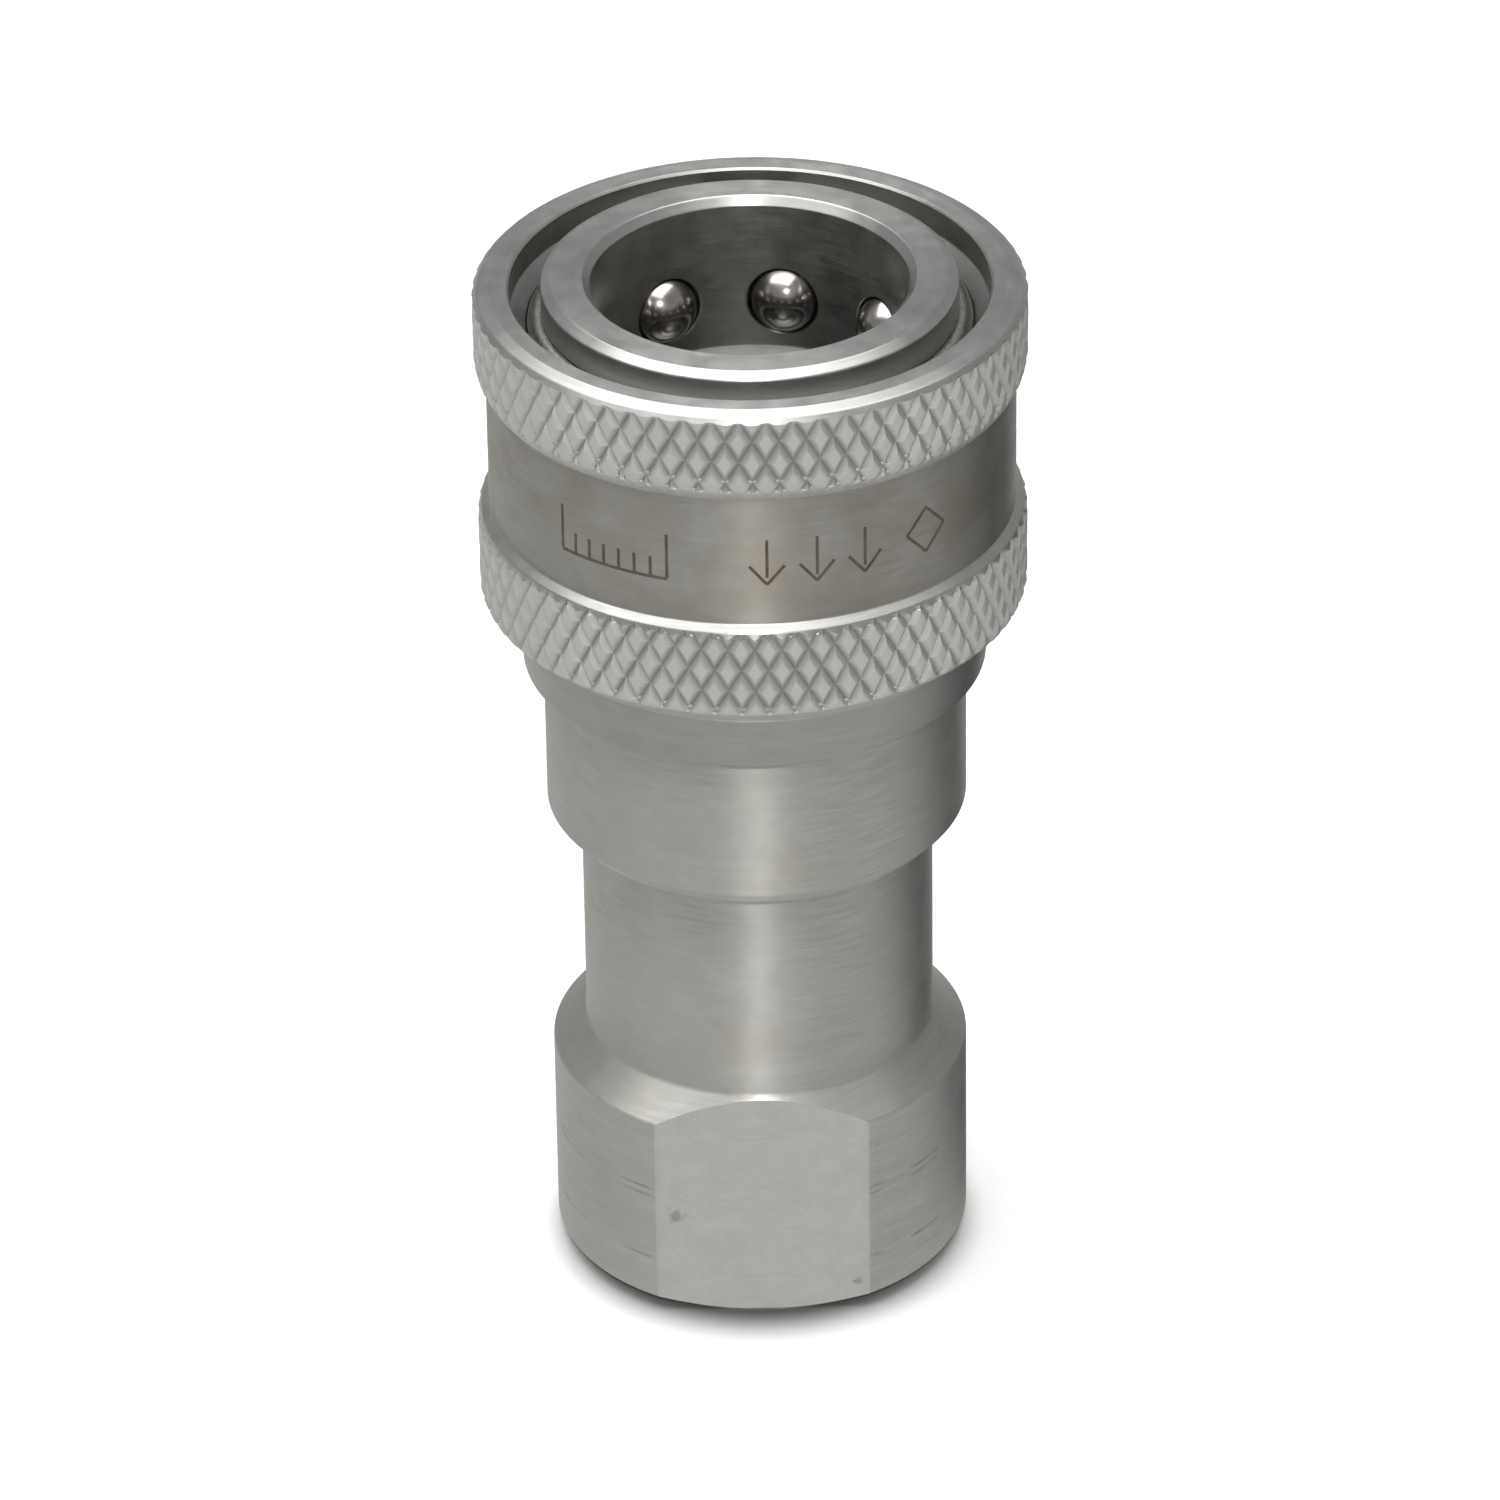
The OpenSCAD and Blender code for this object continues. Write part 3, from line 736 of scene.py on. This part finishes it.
def sleeve_line():
    """The sleeve's closed outline, with rows at the knurl's own steps on both bands."""
    low0, low1 = Z_TAIL + 4.15, Z_TAIL + 4.15 + 3.70
    up1 = Z_RIM - 0.43
    up0 = up1 - 2.95
    outer = outline([
        (10.6, Z_TAIL), (10.82, Z_TAIL, 0.12), (11.10, Z_TAIL + 2.70, 0.25),
        (GRIP_R - 0.12, Z_TAIL + 3.85, 0.10), (GRIP_R, low0, 0.05), (GRIP_R, low1, 0.05),
        (GRIP_R - 0.15, low1 + 0.32, 0.20), (BAND_R, low1 + 0.59, 0.05),
        (BAND_R, up0 - 1.14, 0.05), (GRIP_R - 0.42, up0 - 1.08, 0.05),
        (GRIP_R - 0.12, up0 - 0.57, 0.4), (GRIP_R, up0, 0.4),
        (GRIP_R, up1, 0.05), (GRIP_R - 0.24, up1 + 0.27, 0.25), (GRIP_R - 0.80, Z_RIM, 0.12),
        (RELEASE_R + 0.10, Z_RIM, 0.04), (RELEASE_R, Z_RIM - 0.10),
        (RELEASE_R, 49.9, 0.10), (CONE_R, Z_CONE, 0.06), (LAND_R, Z_RAMP, 0.2),
        (LAND_R, Z_LAND, 0.05), (CHAMBER_R, Z_LAND, 0.10), (CHAMBER_R, Z_TAIL + 0.15),
        (CHAMBER_R + 0.12, Z_TAIL), (10.6, Z_TAIL),
    ])
    made = [outer[:1]]
    step = KNURL_TALL / KNURL_STEPS
    for a, b in zip(outer[:-1], outer[1:]):
        grip = min(a[0], b[0]) > GRIP_R - 0.13 and abs(b[1] - a[1]) > 0.3
        fine = min(a[0], b[0]) > BAND_R + 0.02 and not grip
        if grip:
            bottom, top = min(a[1], b[1]), max(a[1], b[1])
            marks = np.arange(math.ceil(bottom / step), math.floor(top / step) + 1) * step
            marks = marks[(marks > bottom + 0.02) & (marks < top - 0.02)]
            if b[1] < a[1]:
                marks = marks[::-1]
            share = (marks - a[1]) / (b[1] - a[1])
            made.append(a + (b - a) * share[:, None])
        elif fine:
            count = max(1, math.ceil(np.linalg.norm(b - a) / FINE_ROW))
            made.append(a + (b - a) * np.linspace(0, 1, count + 1)[1:-1, None])
        made.append(b[None])
    return np.concatenate(made)


def make_sleeve():
    """The closed outline carried round; on both bands the radius is the smaller of outline and knurl.

    Every cell is split along the diagonal that runs with its nearer valley, so that the creases
    of the diamonds stay straight.
    """
    line = sleeve_line()
    angle = around(SLEEVE_COLS)
    radius, height = line[:, :1], line[:, 1:]
    knurled = np.zeros_like(height, bool)
    for low, high in (UPPER_BAND, LOWER_BAND):
        knurled |= (height > low) & (height < high)
    knurled &= radius > BAND_R - 0.3
    radius = np.where(knurled, np.minimum(radius, knurl_radius(height, angle[None])), radius)
    points = swept(radius, height, angle[None]).reshape(-1, 3)
    quads = cells(len(line), SLEEVE_COLS)
    rows = quads[:, 0] // SLEEVE_COLS
    middle = (height[rows, 0] + height[rows + 1, 0]) / 2
    turn = ((quads[:, 0] % SLEEVE_COLS) + 0.5) / KNURL_STEPS
    plus = to_nearest(turn + middle / KNURL_TALL)
    minus = to_nearest(turn - middle / KNURL_TALL)
    rising = height[rows + 1, 0] > height[rows, 0]
    forward = (minus < plus) == rising
    on_band = knurled[rows, 0] | knurled[rows + 1, 0]
    main = quads[on_band & forward]
    anti = quads[on_band & ~forward]
    split = [main[:, [0, 1, 2]], main[:, [0, 2, 3]], anti[:, [0, 1, 3]], anti[:, [1, 2, 3]]]
    return points, [quads[~on_band], *split]


def sleeve_finish(middle, normal):
    """0 on turned faces, 1 on the knurl, 2 on rim and shoulder, 3 inside, where the steel is darkened
    as painted shade, 4 on the middle band.

    The narrow taper at the tail counts as inside.
    """
    radius, z = np.hypot(middle[:, 0], middle[:, 1]), middle[:, 2]
    upper = (z > UPPER_BAND[0] + 0.02) & (z < Z_RIM - 0.40)
    lower = (z > LOWER_BAND[0]) & (z < LOWER_BAND[1] - 0.52)
    knurl = (upper | lower) & (radius > BAND_R + 0.04)
    bright = (z > Z_RIM - 0.42) | ((z > SHOULDER[0]) & (z < SHOULDER[1]))
    bright &= radius > RELEASE_R - 0.05
    inside = (radius < RELEASE_R + 0.02) & (z < Z_RIM - 0.05) & (z > Z_TAIL + 0.02)
    band = (z > PLAIN_BAND[0]) & (z < PLAIN_BAND[1]) & (radius > BAND_R - 0.1)
    index = np.where(knurl, 1, np.where(band, 4, 0))
    return np.where(bright, 2, np.where(inside, 3, index))


piece("locking_sleeve_shell", make_sleeve(),
      [SLEEVE_STEEL, KNURL_STEEL, RIM_STEEL, SHADED_INNER_STEEL, BAND_STEEL],
      "sleeve", ["locking_sleeve"], sleeve_finish, sharp=24.0)


ETCH_HALF = 0.07


def stroke_plate(points):
    """A thin plate along a line drawn on the middle band.

    At each point of the line, given as (distance round the band, height), the plate's four
    corners lie half its width to either side and 0.012 mm above or 0.03 mm below the surface.
    """
    line = np.array(points, float)
    along = np.gradient(line, axis=0)
    along /= np.linalg.norm(along, axis=1)[:, None]
    side = np.stack([-along[:, 1], along[:, 0]], -1) * ETCH_HALF
    line = line[np.r_[0, 0 : len(line), len(line) - 1]]
    side = side[np.r_[0, 0 : len(side), len(side) - 1]]
    side[[0, -1]] *= 0.0
    rise = np.array([0.012, 0.012, -0.03, -0.03])
    lean = np.array([1.0, -1.0, -1.0, 1.0])
    flat = line[:, None] + side[:, None] * lean[None, :, None]
    rise = np.repeat(rise[None], len(line), 0)
    rise[[0, -1]] = -0.009
    grid = swept(BAND_R + rise, flat[..., 1], flat[..., 0] / BAND_R - np.pi / 2)
    return grid.reshape(-1, 3), cells(len(line), 4)


def straight(a, b):
    """A line between two places, with points every fifth of a millimetre."""
    a, b = np.array(a, float), np.array(b, float)
    count = max(2, math.ceil(np.linalg.norm(b - a) / 0.2))
    return a + (b - a) * np.linspace(0, 1, count + 1)[:, None]


def make_mark():
    """A stroke gauge on the left, and three pull arrows with a diamond on the right."""
    low, tall = 42.3, 2.3
    lines = [straight((-9.6, low), (-4.0, low))]
    for k in range(8):
        top = low + (tall if k % 7 == 0 else tall * 0.45)
        lines.append(straight((-9.6 + 0.8 * k, low + 0.06), (-9.6 + 0.8 * k, top)))
    for k in range(3):
        x = -0.2 + 2.3 * k
        lines.append(straight((x + 0.8, low + tall), (x + 0.8, low + 0.35)))
        lines.append(straight((x, low + 0.95), (x + 0.8, low)))
        lines.append(straight((x + 1.6, low + 0.95), (x + 0.8, low)))
    corners = [(8.5 + 1.1 * a, low + tall / 2 * (1 + b)) for a, b in
               ((0, 1), (1, 0), (0, -1), (-1, 0), (0, 1))]
    lines += [straight(a, b) for a, b in zip(corners[:-1], corners[1:])]
    return joined(*[stroke_plate(line) for line in lines])


piece("sleeve_etched_mark", make_mark(), ETCH, "sleeve", None)


# ---------------------------------------------------------------- balls, rings and springs

def make_ball(index):
    """A sphere on a grid of two angles whose poles lie on the ball's own hole."""
    turn = math.radians(BALL_TURN + BALL_STEP * index)
    rows, cols = 33, 64
    down = np.linspace(0, np.pi, rows)[:, None]
    spin = around(cols)[None]
    out = BALL_C + BALL_R * np.cos(down) + 0 * spin
    side = BALL_R * np.sin(down) * np.cos(spin)
    up = Z_BALL + BALL_R * np.sin(down) * np.sin(spin)
    grid = np.stack([
        out * math.cos(turn) - side * math.sin(turn),
        out * math.sin(turn) + side * math.cos(turn), up,
    ], -1)
    return grid.reshape(-1, 3), cells(rows, cols)


for number in range(BALLS):
    piece(f"ball_{number + 1}_polished", make_ball(number), BALL_STEEL, f"ball_{number + 1}",
          [f"lock_ball_{number + 1}"])


def cord_ring(mean, z, section, count=160, sides=28):
    """A full ring of round section: a circle carried round the axis."""
    turn = np.linspace(0, 2 * np.pi, sides + 1)[:, None]
    grid = swept(mean + section * np.cos(turn), z + section * np.sin(turn), around(count)[None])
    return grid.reshape(-1, 3), cells(sides + 1, count)


def wound(angle, mean, height, radius, sides):
    """A round wire whose middle keeps one distance from the axis at the given angles and heights."""
    out = np.stack([np.cos(angle), np.sin(angle), 0 * angle], -1)
    up = np.zeros_like(out)
    up[:, 2] = 1
    path = out * mean
    path[:, 2] = height
    return tube(path, out, up, radius, sides)


def make_snap_ring():
    """Round wire bent to an open ring with its gap at the back."""
    return wound(np.radians(np.linspace(99.0, 441.0, 200)), SNAP_C, Z_SNAP, SNAP_R, 20)


def make_coil(mean, wire, low, high, turns, start):
    """A helix with one closed turn at each end and open turns between, as a round wire."""
    u = np.linspace(0, turns, round(turns * 56) + 1)
    closed = wire * 1.04
    active = (high - low - wire - 2 * closed) / (turns - 2)
    rise = np.where(
        u < 1, closed * u,
        np.where(u < turns - 1, closed + active * (u - 1),
                 closed + active * (turns - 2) + closed * (u - turns + 1)))
    return wound(math.radians(start) + 2 * np.pi * u, mean, low + wire / 2 + rise, wire / 2, 16)


COIL_TURNS = 4.5

piece("snap_ring_wire", make_snap_ring(), WIRE_STEEL, "socket", ["sleeve_snap_ring"])

coil = piece("sleeve_coil", make_coil(9.85, 0.9, Z_SPRING + 0.02, Z_LAND - 0.02, COIL_TURNS, 60),
             SPRING_STEEL, "spring_carrier", ["sleeve_spring"])
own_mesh(coil)

coil = piece("poppet_coil", make_coil(2.95, 0.6, Z_STOP, Z_POCKET - 0.02, COIL_TURNS, 200),
             SPRING_STEEL, "socket", ["poppet_spring"])
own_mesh(coil)

piece("probe_seal_ring", cord_ring(GROOVE_R - 0.90, 41.93, 0.89), SEAL_RUBBER, "socket",
      ["probe_seal"])
piece("body_seal_ring", cord_ring(7.0, 27.1, 0.59), SEAL_RUBBER, "socket", ["body_seal"])
piece("poppet_seal_ring", cord_ring(5.45, 37.45, 0.46, 128, 20), SEAL_RUBBER, "poppet_body",
      ["poppet_seal"])
FLAT_RING_IN, FLAT_RING_OUT = BORE_R + 0.22, GROOVE_R - 0.05
FLAT_RING_LOW, FLAT_RING_HIGH = 42.88, 43.98
piece("backup_ring_flat", lathe([
    (FLAT_RING_IN, FLAT_RING_LOW + 0.07), (FLAT_RING_IN, FLAT_RING_LOW, 0.03),
    (FLAT_RING_OUT, FLAT_RING_LOW, 0.05), (FLAT_RING_OUT, FLAT_RING_HIGH, 0.05),
    (FLAT_RING_IN, FLAT_RING_HIGH, 0.05),
], around(160)), BACKUP_PLASTIC, "socket", ["probe_backup_ring"])


# ---------------------------------------------------------------- valve

def make_guide():
    """Hub and rim as turned rings joined by three spokes.

    The disc is a grid of angle and radius in which the cells of the three windows are left out
    and their edges closed by upright walls.
    """
    low, high = Z_JOINT + 5.38, Z_STOP - 0.02
    foot, bevel = 25.2, 0.08
    stem, hub_r, inner, outer, rim = 2.05, 3.4, 3.6, 5.3, 7.5
    window, cols = 96.0, 180
    angle = around(cols)

    def level(radii, heights):
        return swept(np.array(radii)[:, None], np.array(heights)[:, None], angle[None])

    hub = lathe([
        (stem, foot), (stem + 0.2, foot, 0), (3.0, foot, 0.05), (hub_r, foot + 0.4, 0.1), (hub_r, low),
    ], angle, closed=False)
    top = level([stem, hub_r, inner, outer, rim - bevel, rim], [high] * 5 + [high - bevel])
    under = level([hub_r, inner, outer, rim - bevel, rim], [low] * 4 + [low + bevel])
    opened = (np.degrees(angle) % 120.0) < window - 1e-6
    parts = [hub]
    walls = [level([stem, stem], [foot, high]), level([rim, rim], [high - bevel, low + bevel])]
    parts += [(wall, cells(2, cols)) for wall in walls]
    for disc, gap in ((top, 2), (under, 1)):
        quads = cells(len(disc), cols)
        ring, col = quads[:, 0] // cols, quads[:, 0] % cols
        parts.append((disc, quads[~((ring == gap) & opened[col])]))
    for radius in (inner, outer):
        parts.append((level([radius, radius], [high, low]), cells(2, cols)[opened]))
    edges = np.radians(np.array([0, 96, 120, 216, 240, 336.0]))
    cheek = swept(np.array([[inner, outer, outer, inner]]), np.array([[high, high, low, low]]),
                  edges[:, None])
    parts.append((cheek, np.arange(24).reshape(6, 4)))
    return joined(*parts)


piece("valve_guide_spider", make_guide(), VALVE_BRASS, "socket", ["valve_guide"])

# Stem, spring seat, skirt, sealing cone, seal bed, and the pin that holds the cap. The cone is at
# 45 degrees: its radius and height add up to the same value everywhere.
CONE_SUM = SEAT_R + Z_FLANGE0 - 0.14
piece("poppet_turned", lathe([
    (0.0, 26.0), (1.7, 26.0, 0.05), (2.0, 26.3, 0.1), (2.0, Z_POCKET, 0.1),
    (3.7, Z_POCKET, 0.1), (3.7, 35.2, 0.06), (5.9, 35.2, 0.1), (6.3, 35.6, 0.1),
    (6.3, CONE_SUM - 6.3, 0.08), (6.0, CONE_SUM - 6.0, 0.04), (6.0, 36.97, 0.05),
    (4.9, 36.97, 0.05), (4.9, 37.6, 0.05), (1.2, 37.6, 0.03), (1.2, 39.4, 0.1), (0.0, 39.4),
], around(128), closed=False), VALVE_STEEL, "poppet_body", ["poppet"])

piece("poppet_cap_turned", lathe([
    (0.0, 41.0), (2.2, 40.92, 0.3), (2.6, 40.5, 0.3), (2.6, 39.1, 0.15), (2.8, 38.7, 0.15),
    (4.7, 38.4, 0.1), (4.98, 38.1, 0.1), (4.98, 37.62, 0.04), (1.25, 37.62, 0.04),
    (1.25, 39.5, 0.03), (0.0, 39.5),
], around(128), closed=False), VALVE_STEEL, "poppet_body", ["poppet_cap"])


# ---------------------------------------------------------------- floor and light

def studio_sheet(name, corners, faces, material):
    """A thin sheet of the given corners, in metres, and faces, with one material."""
    mesh = bpy.data.meshes.new(name)
    mesh.from_pydata(corners, [], faces)
    mesh.materials.append(material)
    made = placed(name, mesh)
    return made


def level_square(name, z, material):
    """A level square sheet at a height in metres, 3 m to each side of the axis."""
    far = 3.0
    corners = [(-far, -far, z), (far, -far, z), (far, far, z), (-far, far, z)]
    return studio_sheet(name, corners, [(0, 1, 2, 3)], material)


def matt_paint(name, grey, **sockets):
    """A plain matt paint for the studio."""
    return Finish(name, (grey, grey, grey), 0.9, metallic=0.0, Specular_IOR_Level=0.1, **sockets)


def lamp(name, place, target, size, power, colour=(1.0, 1.0, 1.0)):
    """A square soft light at a place, facing a target."""
    data = bpy.data.lights.new(name, "AREA")
    data.shape, data.size, data.energy, data.color = "SQUARE", size, power, colour
    made = placed(name, data)
    made.location = place
    away = Vector(place) - Vector(target)
    made.rotation_mode = "QUATERNION"
    made.rotation_quaternion = away.to_track_quat("Z", "Y")


# Painted reflection: grey of the table as seen in reflections, at bearings round the object: 0 is in
# front and 90 on the right.
PAINTED_REFLECTION_GREYS = [
    (-180, 0.32), (-130, 0.42), (-40, 0.45), (0, 0.48), (60, 0.45), (74, 0.41),
    (90, 0.29), (106, 0.13), (118, 0.06), (132, 0.07), (146, 0.26), (165, 0.32),
]


def painted_reflection_paint():
    """The paint of a sheet that only reflections see, a painted reflection. It glows by itself and
    takes no light.

    Its grey depends on the bearing from the axis, the angle whose tangent is x over minus y: mid
    grey in front and on the left, near black to the right and behind, and lighter straight behind.
    """
    f = matt_paint("painted_reflection_sheet_paint", 0.0, Emission_Strength=1.8)
    x, y = f.split(f.place, 0), f.split(f.place, 1)
    bearing = f.sum("ARCTAN2", x, f.sum("MULTIPLY", y, -1.0))
    ramp = f.node("ShaderNodeValToRGB")
    f.link(f.range(bearing, -math.pi, math.pi, 0.0, 1.0), ramp.inputs[0])
    points = ramp.color_ramp.elements
    last = len(PAINTED_REFLECTION_GREYS) - 1
    for k, (degrees, grey) in enumerate(PAINTED_REFLECTION_GREYS):
        place = (degrees + 180) / 360
        point = points[0] if k == 0 else points.new(place) if k < last else points[-1]
        point.position = place
        point.color = (grey, grey, grey * 0.985, 1.0)
    f.link(ramp.outputs[0], f.shader.inputs["Emission Color"])
    return f.material


# Half widths of the flag's ellipse, and how far its centre stands in front of the axis.
FLAG_WIDE, FLAG_DEEP, FLAG_FRONT = 11.2, 10.8, 1.0


def flag_paint():
    """Black paint that thins out across an ellipse: dense inside, clear at its edge."""
    f = matt_paint("flag_paint", 0.02)
    centred = f.vector("ADD", f.place, (0.0, FLAG_FRONT, 0.0))
    reach = f.vector("LENGTH", f.vector("MULTIPLY", centred, (1 / FLAG_WIDE, 1 / FLAG_DEEP, 0.0)))
    f.link(f.range(reach, 0.70, 1.0, 0.93, 0.0, kind="SMOOTHSTEP"), f.shader.inputs["Alpha"])
    return f.material


def contact_flag():
    """A thin sheet round the foot that shades the table there, unseen itself.

    Its inner edge follows the foot and its flats, and lies just under the foot's chamfer.
    """
    turn = around(192)
    flat = (FLAT_Y + 0.02) / np.maximum(np.abs(np.sin(turn)), 0.01)
    rings = [
        swept(np.minimum(reach, flat + 0.02 * z), z, turn)
        for reach, z in ((FOOT_R + 0.03, 0.03), (FOOT_R + 0.17, 0.06))
    ]
    wide, deep = FLAG_WIDE * np.cos(turn), FLAG_DEEP * np.sin(turn) - FLAG_FRONT
    rings.append(np.stack([wide, deep, 0 * turn + 0.07], -1))
    points = np.concatenate(rings) * MM
    made = studio_sheet("contact_flag", points.tolist(), cells(3, 192).tolist(), flag_paint())
    made.visible_camera = made.visible_glossy = False


def set_studio():
    """White table, even grey room, one broad light overhead, one small light near the camera, a
    glowing sheet that gives a painted reflection, and an unseen flag that shades the table round the
    foot.
    """
    gap = 0.02 * MM
    level_square("floor", -gap, matt_paint("table_paint", 0.86).material)
    room = bpy.data.worlds.new("room")
    room.use_nodes = True
    back = room.node_tree.nodes["Background"]
    back.inputs["Color"].default_value = (0.42, 0.425, 0.425, 1.0)
    back.inputs["Strength"].default_value = 1.0
    bpy.context.scene.world = room
    lamp("overhead", (-0.10, 0.05, 0.9), (0, 0, 0), 1.1, 13.0)
    lamp("front", (0.0, -0.60, 0.50), (0, 0, 0.03), 0.04, 1.7, (1.0, 0.98, 0.95))
    # Painted reflection: a glowing sheet seen only in reflections.
    sheet = level_square("painted_reflection_sheet", gap, painted_reflection_paint())
    sheet.visible_camera = sheet.visible_diffuse = sheet.visible_shadow = False
    contact_flag()
    bpy.context.scene.view_settings.view_transform = "Standard"


set_studio()
